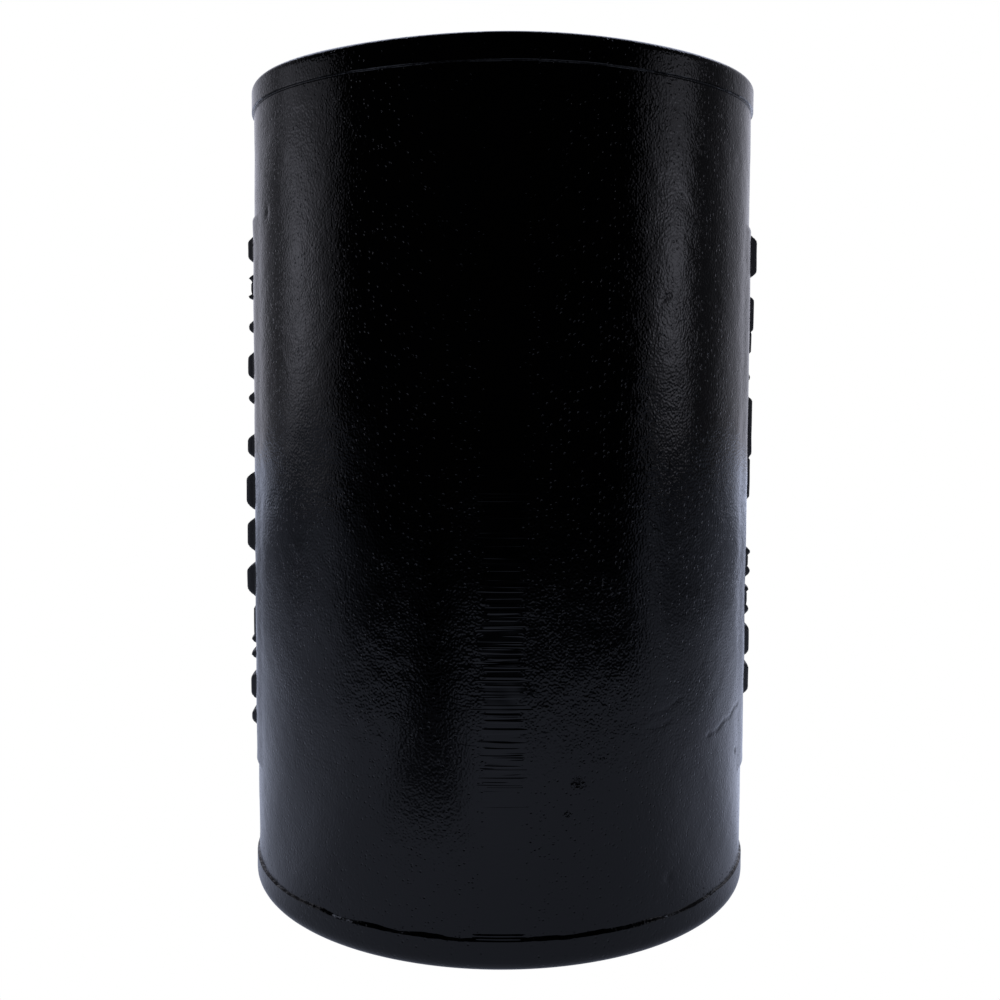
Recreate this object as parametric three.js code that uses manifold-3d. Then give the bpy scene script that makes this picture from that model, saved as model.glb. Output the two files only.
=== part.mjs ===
// Rock tumbler barrel: a moulded rubber barrel with a hexagonal inside, closed by a clamped rubber lid.
// Millimetres, +Z up. The origin is the centre of the closed end, on the surface the barrel stands on.
// The mould seam faces -Y and +Y, and the raised marks are on the -X and +X sides.

import * as THREE from "three";
import { mergeVertices } from "three/addons/utils/BufferGeometryUtils.js";
import Module from "manifold-3d";

const wasm = await Module();
wasm.setup();

// Driving dimensions of the barrel's outside.
const BAND_R = 95; // end bands, the widest part of the casting
const BODY_R = 94.15; // wall between the bands
const HEIGHT = 300;
const BASE_BAND = 11; // height of the lower band
const TOP_BAND = 9; // height of the upper band
const BASE_CORNER_R = 5; // rounded outer edge at each end
const RIM_CORNER_R = 2;
const LEDGE_H = 0.6; // height over which the casting steps from a band to the wall
const GROOVE_DEPTH = 0.3; // parting groove in the wall along each ledge

// Driving dimensions of the barrel's inside and mouth.
const FLOOR_T = 20;
const HEX_FLATS = 150; // across the flats of the hexagonal chamber
const HEX_CORNER_R = 12;
const SHELF_Z = 244; // ceiling of the chamber
const SEAT_Z = 266; // floor of the recess that takes the lid
const NECK_R = 60;
const RECESS_R = 76;
const RIM_CHAMFER = 2;

// Raised marks: plain bars on a thin panel, as [height of the lower edge, height of the upper edge, relief].
const MARK_HALF_ANGLE = THREE.MathUtils.degToRad(8);
const MARK_DRAFT = 0.75; // how far a bar's sides lean inwards, as a share of its relief
const PANEL_RELIEF = 0.8;
const PANEL_HALF_ANGLE = THREE.MathUtils.degToRad(22);
const PANEL_END_DRAFT = 12; // length over which the panel's ends rise from the wall
const LEFT_PANEL = [46, 252];
const RIGHT_PANEL = [46, 249];
const LEFT_MARKS = [
  [235.5, 246, 3.1],
  [221.5, 224.5, 2.9],
  [223.5, 229.5, 1.9],
  [228.5, 231.5, 2.8],
  [208.5, 214.5, 2.9],
  [191, 202.5, 3.4],
  [181.5, 187.5, 3.3],
  [161, 171.5, 3.9],
  [141, 157, 4.6],
  [125, 139, 4.2],
  [107.5, 121.5, 4.5],
  [92, 105, 1.9],
  [89.5, 93.5, 2.8],
  [83.5, 87.5, 2.9],
  [67.5, 78.5, 3.1],
  [57.5, 64.5, 3.0],
];
const RIGHT_MARKS = [
  [230.5, 247.5, 3.6],
  [209.5, 224.5, 2.6],
  [201.5, 211.5, 1.9],
  [191.5, 195, 1.6],
  [162, 186.5, 2.7],
  [146, 163.5, 2.1],
  [124, 128.5, 2.8],
  [119.5, 126, 2.0],
  [116, 121.5, 2.9],
  [110, 113.5, 2.6],
  [105, 112, 2.0],
  [101.5, 106.5, 2.7],
  [85.5, 98.5, 2.9],
  [70.5, 83.5, 3.0],
];

// Driving dimensions of the closure. Neighbouring pieces stand this far apart.
const GAP = 0.3;
const FLANGE_R = 73;
const FLANGE_T = 8;
const PLUG_R = 59;
const PLUG_DEPTH = 16; // below the recess's floor
const LIP_R = NECK_R - GAP; // sealing lips round the plug
const LIP_T = 3;
const LIP_PITCH = 6;
const DISC_R = 54;
const DISC_T = 2.5;
const PLATE_R = 68;
const PLATE_T = 2.5;
const PLATE_LIFT = 2; // height of the stiffening step pressed into the plate
const BOLT_R = 5;
const BOLT_HOLE_R = 5.5;
const BOLT_TOP = 296.5;
const NECK_SIDE = 10; // square neck of the carriage bolt
const HEAD_R = 11.5;
const HEAD_T = 5.5;
const SEAL_R = 12;
const SEAL_T = 2;
const O_RING_SECTION_R = 1.3;
const WASHER_R = 15;
const WASHER_T = 2;
const NUT_BASE_R = 10;
const NUT_NECK_R = 8;
const NUT_H = 9;
const WING_T = 3.5;
const WING_REACH = 25;
const WING_TOP = 18; // above the nut's base

const AROUND = 72; // facets round the casting
const AROUND_LID = 48; // facets round the plug, disc and plate
const AROUND_SMALL = 24; // facets round the bolt, washers and nut

// Heights that follow from the sizes above.
const FLANGE_Z = SEAT_Z + GAP;
const PLUG_Z = SEAT_Z - PLUG_DEPTH;
const DISC_Z = PLUG_Z - GAP - DISC_T;
const SEAL_Z = DISC_Z - GAP - SEAL_T;
const HEAD_Z = SEAL_Z - GAP - HEAD_T;
const PLATE_Z = FLANGE_Z + FLANGE_T + GAP;
const PLATE_CENTRE_TOP = PLATE_Z + PLATE_LIFT + PLATE_T;
const WASHER_Z = PLATE_CENTRE_TOP + GAP;
const NUT_Z = WASHER_Z + WASHER_T + GAP;

// A closed geometry as a manifold solid, moved by a matrix if one is given.
function solid(geometry, matrix) {
  const plain = geometry.clone();
  plain.deleteAttribute("normal");
  plain.deleteAttribute("uv");
  if (matrix) {
    plain.applyMatrix4(matrix);
  }
  const merged = mergeVertices(plain, 1e-4);
  const mesh = new wasm.Mesh({
    numProp: 3,
    vertProperties: new Float32Array(merged.attributes.position.array),
    triVerts: new Uint32Array(merged.index.array),
  });
  return new wasm.Manifold(mesh);
}

// A manifold solid as a three.js geometry.
function geometryOf(manifold) {
  const mesh = manifold.getMesh();
  const geometry = new THREE.BufferGeometry();
  geometry.setAttribute("position", new THREE.BufferAttribute(mesh.vertProperties, 3));
  geometry.setIndex(new THREE.BufferAttribute(mesh.triVerts, 1));
  geometry.computeVertexNormals();
  return geometry;
}

// A turned solid. Its outline runs from the top down as [radius, height] pairs, and closes on itself.
function turned(outline, segments) {
  const points = outline.map(([r, z]) => new THREE.Vector2(r, z));
  const onAxis = outline[0][0] === 0 && outline.at(-1)[0] === 0;
  if (!onAxis) {
    points.push(points[0].clone());
  }
  const lathe = new THREE.LatheGeometry(points, segments);
  return lathe.applyMatrix4(new THREE.Matrix4().makeRotationX(Math.PI / 2));
}

// Points on a quarter of a rounded edge, as [radius, height] pairs.
function cornerArc(centreR, centreZ, radius, fromDeg, toDeg, steps = 4) {
  return Array.from({ length: steps + 1 }, (_, i) => {
    const angle = THREE.MathUtils.degToRad(fromDeg + ((toDeg - fromDeg) * i) / steps);
    return [centreR + radius * Math.cos(angle), centreZ + radius * Math.sin(angle)];
  });
}

// A flat outline in X and Y as a prism from one height to another.
function prism(shape, lowZ, highZ) {
  const options = { depth: highZ - lowZ, bevelEnabled: false, curveSegments: 6 };
  return new THREE.ExtrudeGeometry(shape, options).translate(0, 0, lowZ);
}

// The casting's outline from the base's centre to the rim's centre.
function castingOutline() {
  const ledge = (z, towardsWall) => [
    [BAND_R, z],
    [BODY_R - GROOVE_DEPTH, z + towardsWall * LEDGE_H],
    [BODY_R, z + towardsWall * 2 * LEDGE_H],
  ];
  return [
    [0, 0],
    ...cornerArc(BAND_R - BASE_CORNER_R, BASE_CORNER_R, BASE_CORNER_R, -90, 0),
    ...ledge(BASE_BAND, 1),
    ...ledge(HEIGHT - TOP_BAND, -1).reverse(),
    ...cornerArc(BAND_R - RIM_CORNER_R, HEIGHT - RIM_CORNER_R, RIM_CORNER_R, 0, 90),
    [0, HEIGHT],
  ];
}

// A flat-topped bar wrapped on the wall, centred on +X, with its drafts making the top smaller than the foot.
function wallBar(lowZ, highZ, relief, halfAngle, draft, endDraft = draft) {
  const steps = 4;
  const positions = [];
  const indices = [];
  const innerR = BODY_R - 0.5;
  const outerR = BODY_R + relief;
  const outerHalf = halfAngle - endDraft / outerR;
  for (let i = 0; i <= steps; i += 1) {
    const along = (2 * i) / steps - 1;
    const inner = along * halfAngle;
    const outer = along * outerHalf;
    positions.push(innerR * Math.cos(inner), innerR * Math.sin(inner), lowZ);
    positions.push(outerR * Math.cos(outer), outerR * Math.sin(outer), lowZ + draft);
    positions.push(outerR * Math.cos(outer), outerR * Math.sin(outer), highZ - draft);
    positions.push(innerR * Math.cos(inner), innerR * Math.sin(inner), highZ);
  }
  for (let i = 0; i < steps; i += 1) {
    for (let side = 0; side < 4; side += 1) {
      const a = 4 * i + side;
      const b = 4 * i + ((side + 1) % 4);
      indices.push(a, a + 4, b, b, a + 4, b + 4);
    }
  }
  const last = 4 * steps;
  indices.push(0, 1, 2, 0, 2, 3, last, last + 2, last + 1, last, last + 3, last + 2);
  const geometry = new THREE.BufferGeometry();
  geometry.setAttribute("position", new THREE.Float32BufferAttribute(positions, 3));
  geometry.setIndex(indices);
  return geometry;
}

// The panel and bars of one side, joined to the wall. A turn of 0 puts them on +X, and of PI on -X.
function withMarks(casting, panel, marks, turn) {
  const place = new THREE.Matrix4().makeRotationZ(turn);
  const raised = wallBar(panel[0], panel[1], PANEL_RELIEF, PANEL_HALF_ANGLE, PANEL_RELIEF, PANEL_END_DRAFT);
  let result = casting.add(solid(raised, place));
  for (const [lowZ, highZ, relief] of marks) {
    const draft = Math.min(MARK_DRAFT * relief, 0.4 * (highZ - lowZ));
    result = result.add(solid(wallBar(lowZ, highZ, relief, MARK_HALF_ANGLE, draft), place));
  }
  return result;
}

// A hexagon with rounded corners, its flats facing -Y and +Y.
function hexagonShape() {
  const cornerDistance = HEX_FLATS / Math.sqrt(3);
  const trim = HEX_CORNER_R / Math.sqrt(3);
  const corner = (i) => {
    const angle = (i * Math.PI) / 3;
    return new THREE.Vector2(cornerDistance * Math.cos(angle), cornerDistance * Math.sin(angle));
  };
  const shape = new THREE.Shape();
  for (let i = 0; i < 6; i += 1) {
    const tip = corner(i);
    const before = tip.clone().lerp(corner(i - 1), trim / cornerDistance);
    const after = tip.clone().lerp(corner(i + 1), trim / cornerDistance);
    if (i === 0) {
      shape.moveTo(before.x, before.y);
    } else {
      shape.lineTo(before.x, before.y);
    }
    shape.quadraticCurveTo(tip.x, tip.y, after.x, after.y);
  }
  shape.closePath();
  return shape;
}

// Everything that the casting is hollow for: chamber, neck with a lead-in, and the recess with its chamfer.
function mouthOutline() {
  return [
    [0, SHELF_Z - 4],
    [NECK_R + 6, SHELF_Z - 4],
    [NECK_R, SHELF_Z + 2],
    [NECK_R, SEAT_Z - 1.5],
    [NECK_R + 1.5, SEAT_Z],
    [RECESS_R - 2, SEAT_Z],
    [RECESS_R, SEAT_Z + 2],
    [RECESS_R, HEIGHT - RIM_CHAMFER],
    [RECESS_R + RIM_CHAMFER + 1, HEIGHT + 1],
    [0, HEIGHT + 1],
  ];
}

function barrelBody() {
  let casting = solid(turned(castingOutline(), AROUND));
  casting = withMarks(casting, RIGHT_PANEL, RIGHT_MARKS, 0);
  casting = withMarks(casting, LEFT_PANEL, LEFT_MARKS, Math.PI);
  const chamber = solid(prism(hexagonShape(), FLOOR_T, SHELF_Z));
  const mouth = solid(turned(mouthOutline(), AROUND));
  return geometryOf(casting.subtract(chamber).subtract(mouth));
}

// Outline points of one sealing lip round the plug, at the height of its middle.
function lipAt(z) {
  return [
    [PLUG_R, z - LIP_T / 2],
    [LIP_R, z - LIP_T / 6],
    [LIP_R, z + LIP_T / 6],
    [PLUG_R, z + LIP_T / 2],
  ];
}

function lidPlug() {
  const firstLip = PLUG_Z + LIP_T;
  return turned(
    [
      [BOLT_HOLE_R, PLUG_Z],
      [PLUG_R - 1.5, PLUG_Z],
      [PLUG_R, PLUG_Z + 1],
      ...lipAt(firstLip),
      ...lipAt(firstLip + LIP_PITCH),
      [PLUG_R, FLANGE_Z],
      [FLANGE_R - 1, FLANGE_Z],
      [FLANGE_R, FLANGE_Z + 1],
      [FLANGE_R, FLANGE_Z + FLANGE_T - 2],
      [FLANGE_R - 2, FLANGE_Z + FLANGE_T],
      [BOLT_HOLE_R, FLANGE_Z + FLANGE_T],
    ],
    AROUND_LID,
  );
}

// A disc with a square hole for the bolt's neck.
function pressureDisc() {
  const rim = turned(
    [
      [0, DISC_Z],
      [DISC_R - 0.6, DISC_Z],
      [DISC_R, DISC_Z + 0.6],
      [DISC_R, DISC_Z + DISC_T - 0.6],
      [DISC_R - 0.6, DISC_Z + DISC_T],
      [0, DISC_Z + DISC_T],
    ],
    AROUND_LID,
  );
  const side = NECK_SIDE + 2 * GAP;
  const hole = new THREE.BoxGeometry(side, side, 4 * DISC_T).translate(0, 0, DISC_Z);
  return geometryOf(solid(rim).subtract(solid(hole)));
}

// Domed head, square neck through the disc, and round shank up to a chamfered tip.
function closureBolt() {
  const domeHeight = HEAD_T - 1;
  const domeR = (HEAD_R ** 2 + domeHeight ** 2) / (2 * domeHeight);
  const dome = Array.from({ length: 6 }, (_, i) => {
    const r = (HEAD_R * i) / 5;
    return [r, HEAD_Z + domeR - Math.sqrt(domeR ** 2 - r ** 2)];
  });
  const headTop = HEAD_Z + HEAD_T;
  const round = turned(
    [
      ...dome,
      [HEAD_R, headTop],
      [BOLT_R, headTop],
      [BOLT_R, BOLT_TOP - 1],
      [BOLT_R - 1, BOLT_TOP],
      [0, BOLT_TOP],
    ],
    AROUND_SMALL,
  );
  const neckHeight = DISC_Z + DISC_T - headTop;
  const neck = new THREE.BoxGeometry(NECK_SIDE, NECK_SIDE, neckHeight + 1);
  neck.translate(0, 0, headTop + (neckHeight - 1) / 2);
  return geometryOf(solid(round).add(solid(neck)));
}

// A flat ring between two radii.
function ring(innerR, outerR, lowZ, thickness) {
  return turned(
    [
      [innerR, lowZ],
      [outerR, lowZ],
      [outerR, lowZ + thickness],
      [innerR, lowZ + thickness],
    ],
    AROUND_SMALL,
  );
}

function boltHeadSeal() {
  const diagonal = (NECK_SIDE / 2) * Math.SQRT2;
  return ring(diagonal + GAP, SEAL_R, SEAL_Z, SEAL_T);
}

// A pressed plate: flat rim, a step up, and a flat middle with a pocket round the bolt for the O-ring.
function outerLidPlate() {
  const stepOut = 46;
  const stepIn = 42;
  const pocketR = BOLT_R + GAP + 2 * O_RING_SECTION_R + GAP;
  const lip = 1.2;
  return turned(
    [
      [BOLT_HOLE_R, PLATE_Z + PLATE_LIFT - lip],
      [pocketR + 1, PLATE_Z + PLATE_LIFT - lip],
      [pocketR + 3, PLATE_Z + PLATE_LIFT],
      [stepIn, PLATE_Z + PLATE_LIFT],
      [stepOut, PLATE_Z],
      [PLATE_R, PLATE_Z],
      [PLATE_R, PLATE_Z + PLATE_T - 0.8],
      [PLATE_R - 0.8, PLATE_Z + PLATE_T],
      [stepOut - 1, PLATE_Z + PLATE_T],
      [stepIn - 1, PLATE_CENTRE_TOP],
      [pocketR + 1, PLATE_CENTRE_TOP],
      [pocketR, WASHER_Z - GAP - 2 * O_RING_SECTION_R - GAP],
      [BOLT_HOLE_R, WASHER_Z - GAP - 2 * O_RING_SECTION_R - GAP],
    ],
    AROUND_LID,
  );
}

function boltORing() {
  const centreR = BOLT_R + GAP + O_RING_SECTION_R;
  const torus = new THREE.TorusGeometry(centreR, O_RING_SECTION_R, 8, AROUND_SMALL);
  return torus.translate(0, 0, WASHER_Z - GAP - O_RING_SECTION_R);
}

function flatWasher() {
  return ring(BOLT_HOLE_R, WASHER_R, WASHER_Z, WASHER_T);
}

// One wing as an upright plate leaning outwards, from inside the nut's neck to its rounded tip.
function wingShape() {
  const tipR = 4.5;
  const shape = new THREE.Shape();
  shape.moveTo(BOLT_HOLE_R + 1.2, 2);
  shape.lineTo(NUT_BASE_R, 3);
  shape.quadraticCurveTo(WING_REACH - 6, 5, WING_REACH - tipR * 0.2, WING_TOP - tipR);
  shape.quadraticCurveTo(WING_REACH, WING_TOP, WING_REACH - tipR, WING_TOP);
  shape.quadraticCurveTo(WING_REACH - 9, WING_TOP, WING_REACH - 12, NUT_H + 2);
  shape.quadraticCurveTo(NUT_NECK_R + 2, NUT_H - 1, BOLT_HOLE_R + 1.2, NUT_H - 1);
  shape.closePath();
  return shape;
}

function wingNut() {
  const hub = solid(
    turned(
      [
        [BOLT_HOLE_R, NUT_Z],
        [NUT_BASE_R - 1, NUT_Z],
        [NUT_BASE_R, NUT_Z + 1],
        [NUT_NECK_R, NUT_Z + NUT_H],
        [BOLT_HOLE_R, NUT_Z + NUT_H],
      ],
      AROUND_SMALL,
    ),
  );
  const options = { depth: WING_T, bevelEnabled: false, curveSegments: 6 };
  const flat = new THREE.ExtrudeGeometry(wingShape(), options);
  flat.translate(0, 0, -WING_T / 2).applyMatrix4(new THREE.Matrix4().makeRotationX(Math.PI / 2));
  flat.translate(0, 0, NUT_Z);
  const wings = [0, Math.PI].map((turn) => solid(flat, new THREE.Matrix4().makeRotationZ(turn)));
  return geometryOf(hub.add(wings[0]).add(wings[1]));
}

function material(color, roughness, metalness) {
  return new THREE.MeshStandardMaterial({ color, roughness, metalness });
}

const blackRubber = () => material(0x0b0c0f, 0.3, 0);
const lidRubber = () => material(0x141416, 0.55, 0);
const zincSteel = () => material(0xa9adb2, 0.35, 1);

const barrel = new THREE.Group();

function addPiece(name, geometry, finish) {
  const mesh = new THREE.Mesh(geometry, finish);
  mesh.name = name;
  barrel.add(mesh);
}

addPiece("barrel_body", barrelBody(), blackRubber());
addPiece("lid_plug", lidPlug(), lidRubber());
addPiece("pressure_disc", pressureDisc(), zincSteel());
addPiece("closure_bolt", closureBolt(), zincSteel());
addPiece("bolt_head_seal", boltHeadSeal(), lidRubber());
addPiece("outer_lid_plate", outerLidPlate(), zincSteel());
addPiece("bolt_o_ring", boltORing(), lidRubber());
addPiece("flat_washer", flatWasher(), zincSteel());
addPiece("wing_nut", wingNut(), zincSteel());

export default barrel;
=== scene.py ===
"""Rock tumbler barrel: the fine surfaces, materials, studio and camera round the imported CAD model."""

import math

import bpy
import numpy as np
from mathutils import Matrix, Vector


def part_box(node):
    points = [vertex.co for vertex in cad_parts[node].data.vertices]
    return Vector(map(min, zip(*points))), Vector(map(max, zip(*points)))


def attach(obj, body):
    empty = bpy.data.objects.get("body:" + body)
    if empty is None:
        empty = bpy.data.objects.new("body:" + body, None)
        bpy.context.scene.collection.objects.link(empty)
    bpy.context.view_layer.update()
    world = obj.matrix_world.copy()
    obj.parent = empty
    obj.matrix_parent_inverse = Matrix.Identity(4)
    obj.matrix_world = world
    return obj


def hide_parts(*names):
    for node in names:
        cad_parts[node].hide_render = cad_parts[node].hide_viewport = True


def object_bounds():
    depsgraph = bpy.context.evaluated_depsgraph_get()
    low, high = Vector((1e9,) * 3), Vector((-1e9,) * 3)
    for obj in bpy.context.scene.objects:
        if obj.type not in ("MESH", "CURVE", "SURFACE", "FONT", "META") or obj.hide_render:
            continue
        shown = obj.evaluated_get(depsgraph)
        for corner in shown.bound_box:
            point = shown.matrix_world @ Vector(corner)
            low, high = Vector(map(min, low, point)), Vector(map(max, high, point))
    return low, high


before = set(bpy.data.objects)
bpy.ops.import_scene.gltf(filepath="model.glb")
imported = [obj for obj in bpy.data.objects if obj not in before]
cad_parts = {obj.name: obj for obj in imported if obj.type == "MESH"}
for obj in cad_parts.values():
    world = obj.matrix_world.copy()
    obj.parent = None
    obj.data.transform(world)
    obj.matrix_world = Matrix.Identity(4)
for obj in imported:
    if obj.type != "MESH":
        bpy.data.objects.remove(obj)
cad_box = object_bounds()

MM = 0.001

# The casting, as in the CAD model.
BAND_R = 95 * MM
BODY_R = 94.15 * MM
HEIGHT = cad_box[1][2]
BASE_CORNER_R = 5 * MM
RIM_CORNER_R = 2 * MM
LOW_LEDGE = 11 * MM
HIGH_LEDGE = HEIGHT - 9 * MM
FLOOR_T = 20 * MM
HEX_FLATS = 150 * MM
HEX_CORNER_R = 12 * MM
SHELF_Z = 244 * MM
SEAT_Z = 266 * MM
NECK_R = 60 * MM
RECESS_R = 76 * MM

# How far the soft edges round the chamber's ceiling and floor reach.
CHAMBER_EDGE = 4 * MM

# The rim of this casting is uneven: its sag fades in over this stretch of the wall.
SAG_START = 270 * MM
SAG_SPAN = 28 * MM

# The scores of the mould seam cut the low ledge into steps.
SEAM_STEPS = 3
SEAM_STEPS_TALL = 2.7 * MM

# The low panel on each side, and the raised bars that take the place of lettering.
BAR_HALF_LENGTH = 13.1 * MM
BAR_DRAFT = 0.9
PANEL_HALF_LENGTH = 36 * MM
PANEL_END_DRAFT = 14 * MM
PANEL_RELIEF = 0.8 * MM
# Each side is named by its degrees from the seam. Its panel is (lower edge, upper edge) and its bars are
# (lower edge, upper edge, relief), in millimetres, as in the CAD model.
SIDES = {
    90: {
        "panel": (46, 249),
        "bars": [
            (230.5, 247.5, 3.6), (209.5, 224.5, 2.6), (201.5, 211.5, 1.9), (191.5, 195, 1.6),
            (162, 186.5, 2.7), (146, 163.5, 2.1), (124, 128.5, 2.8), (119.5, 126, 2.0), (116, 121.5, 2.9),
            (110, 113.5, 2.6), (105, 112, 2.0), (101.5, 106.5, 2.7), (85.5, 98.5, 2.9), (70.5, 83.5, 3.0),
        ],
    },
    -90: {
        "panel": (46, 252),
        "bars": [
            (235.5, 246, 3.1), (228.5, 231.5, 2.8), (223.5, 229.5, 1.9), (221.5, 224.5, 2.9),
            (208.5, 214.5, 2.9), (191, 202.5, 3.4), (181.5, 187.5, 3.3), (161, 171.5, 3.9), (141, 157, 4.6),
            (125, 139, 4.2), (107.5, 121.5, 4.5), (92, 105, 1.9), (89.5, 93.5, 2.8), (83.5, 87.5, 2.9),
            (67.5, 78.5, 3.1), (57.5, 64.5, 3.0),
        ],
    },
}

# Soft dents of the wall: (degrees from the seam, height, radius, depth), in millimetres. A swelling has a
# negative depth. The last two together are the faint ring-shaped mark.
DENTS = [
    (15.6, 62, 1.6, 0.4), (13.5, 52, 1.0, 0.2), (37.3, 24, 1.6, 0.35), (-61, 250, 1.8, 0.3),
    (67, 56, 1.1, 0.4), (-35.6, 152, 8, -0.16), (-35.6, 152, 4, 0.16),
]
# Flow lines in the rubber: (one end, other end, width, depth), with each end as (degrees, height).
FLOW_LINES = [
    ((49, 68), (70, 74), 0.6, 0.28), ((31, 80.5), (42, 85), 0.6, 0.12),
    ((30, 76), (39, 78.5), 0.6, 0.12), ((33, 216), (37, 221), 0.7, 0.25),
]
# Torn spots of the skin: (degrees from the seam, height, radius of the core, radius of the edge).
TORN_SPOTS = [(15.6, 62, 1.3, 3.0), (13.5, 52, 0.6, 1.4)]

# The buffed strip down each mould seam, and the heights between which its scores are deep.
STRIP_OFF_CENTRE = 0.8 * MM
STRIP_EDGE = (14.5 * MM, 13.5 * MM)
STRIP_FRAY = 15 * MM
SCORES_START = (58 * MM, 68 * MM)
SCORES_END = (132 * MM, 108 * MM)
SCORES_ELSEWHERE = 0.18
SCORES_STRETCH = 24.0

# The distances from the axis at which a raised bar starts to be dusty, and is fully so.
DUSTY_RADIUS = (95.1 * MM, 95.6 * MM)

# The grain, as (scale of its noise, depth of its bumps).
SWELL = (420.0, 0.08 * MM)
PEEL = (1250.0, 0.10 * MM)
PINHOLES = (700.0, 0.19 * MM)
SCORES = (860.0, 0.14 * MM)
TEARS = (1100.0, 2.2 * MM)

# The camera, from fitting the barrel's two end circles and its sides.
CAMERA_DISTANCE = 469.4 * MM
CAMERA_HEIGHT = 190.3 * MM
CAMERA_PITCH_DEG = 3.472
CAMERA_ROLL = 0.0045
CAMERA_LENS_MM = 43.03
CAMERA_SHIFT = (-0.0010, -0.0434)


# ---------------------------------------------------------------- meshes

def mesh_object(name, vertices, faces, material, sharp_deg=40):
    """A shown mesh in the row frame, smooth but for edges sharper than sharp_deg."""
    mesh = bpy.data.meshes.new(name)
    mesh.from_pydata(vertices, [], faces)
    mesh.validate()
    mesh.polygons.foreach_set("use_smooth", [True] * len(mesh.polygons))
    mesh.set_sharp_from_angle(angle=math.radians(sharp_deg))
    mesh.materials.append(material)
    obj = bpy.data.objects.new(name, mesh)
    bpy.context.collection.objects.link(obj)
    return obj


def ring_solid(name, angles, radii, heights, material, closed=False, sharp_deg=40):
    """A solid skinned over rings. radii and heights are rows of rings by columns of angles.

    An open stack of rings ends in a point at each end. A closed one joins its last ring to its first.
    The outline runs anticlockwise in the half plane of radius and height, so faces point outwards.
    """
    rings, around = radii.shape
    x = radii * np.sin(angles)
    y = -radii * np.cos(angles)
    points = np.stack([x, y, heights], axis=-1).reshape(-1, 3)
    below = np.arange(rings if closed else rings - 1)[:, None] * around + np.arange(around)
    right = np.roll(below, -1, axis=1)
    step = (below + around) % (rings * around)
    step_right = (right + around) % (rings * around)
    faces = np.stack([below, right, step_right, step], axis=-1).reshape(-1, 4).tolist()
    vertices = points.tolist()
    if not closed:
        for ring, flip in ((0, True), (rings - 1, False)):
            centre = len(vertices)
            vertices.append([0.0, 0.0, float(heights[ring].mean())])
            for i in range(around):
                a = ring * around + i
                b = ring * around + (i + 1) % around
                faces.append([b, a, centre] if flip else [a, b, centre])
    return mesh_object(name, vertices, faces, material, sharp_deg)


def curve_point(start, pull, end, t):
    """A point of the smooth curve that leaves start and reaches end, both headed for pull."""
    return (1 - t) ** 2 * start + 2 * t * (1 - t) * pull + t ** 2 * end


def filleted(outline, closed=False, steps=5):
    """The outline's (radius, height) points, each corner rounded by its own third number."""
    count = len(outline)
    rounded = []
    for i, (r, z, fillet) in enumerate(outline):
        if fillet == 0 or (not closed and i in (0, count - 1)):
            rounded.append((r, z))
            continue
        here = np.array([r, z])
        before = np.array(outline[i - 1][:2]) - here
        after = np.array(outline[(i + 1) % count][:2]) - here
        to_before = before / np.linalg.norm(before)
        to_after = after / np.linalg.norm(after)
        half = 0.5 * math.acos(np.clip(to_before @ to_after, -1, 1))
        trim = min(fillet / math.tan(half), 0.48 * np.linalg.norm(before), 0.48 * np.linalg.norm(after))
        start = here + trim * to_before
        end = here + trim * to_after
        for t in np.linspace(0, 1, steps + 1):
            rounded.append(tuple(curve_point(start, here, end, t)))
    return np.array(rounded)


class Rings:
    """Rings round the axis, gathered one by one and then skinned. A ring's radius may vary round it."""

    def __init__(self, angles):
        self.angles = angles
        self.radii = []
        self.heights = []

    def add(self, radius, height):
        self.radii.append(np.broadcast_to(radius, self.angles.shape).astype(float))
        self.heights.append(np.broadcast_to(height, self.angles.shape).astype(float))

    def solid(self, name, material, closed=False, sharp_deg=40):
        radii = np.array(self.radii)
        heights = np.array(self.heights)
        return ring_solid(name, self.angles, radii, heights, material, closed, sharp_deg)


def even_angles(count):
    return np.linspace(0, 2 * math.pi, count, endpoint=False)


def turned(name, outline, material, around=128, closed=False, sharp_deg=40):
    """A turned piece from an outline in millimetres, as (radius, height, corner radius) points."""
    rings = Rings(even_angles(around))
    for radius, height in filleted(outline, closed) * MM:
        rings.add(radius, height)
    return rings.solid(name, material, closed, sharp_deg)


def smooth_step(value):
    """0 to 1 with flat ends, for values from 0 to 1."""
    t = np.clip(value, 0, 1)
    return t * t * (3 - 2 * t)


def ripples(angle, z, wavelength, seed, waves=14):
    """Smooth random waves round and along a wall, about -1 to 1, with no join."""
    random = np.random.default_rng(seed)
    total = np.zeros(np.broadcast(angle, z).shape)
    for _ in range(waves):
        turn = random.uniform(0, 2 * math.pi)
        size = 2 * math.pi / (wavelength * random.uniform(0.7, 1.6))
        around = round(size * math.cos(turn) * BODY_R)
        total += np.sin(around * angle + size * math.sin(turn) * z + random.uniform(0, 2 * math.pi))
    return total / math.sqrt(waves)


# ---------------------------------------------------------------- the casting

def casting_angles():
    """Angles from the seam at -Y towards +X, closer together over the front and the raised bars."""
    spans = [(-180, -102, 1.0), (-102, -78, 0.4), (-78, 78, 0.5), (78, 102, 0.4), (102, 180, 1.0)]
    return np.radians(np.concatenate([np.arange(low, high - 1e-6, step) for low, high, step in spans]))


def wall_heights():
    """Heights of the wall's rings, closer together at the two ledges."""
    even = np.arange(BASE_CORNER_R, HEIGHT - RIM_CORNER_R + 1e-9, 0.75 * MM)
    low = np.arange(LOW_LEDGE - 0.5 * MM, LOW_LEDGE + 2.4 * MM, 0.15 * MM)
    high = np.arange(HIGH_LEDGE - 1.2 * MM, HIGH_LEDGE + 0.4 * MM, 0.1 * MM)
    rows = np.unique(np.round(np.concatenate([even, low, high]), 7))
    return rows[np.concatenate([[True], np.diff(rows) > 0.05 * MM])]


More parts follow.
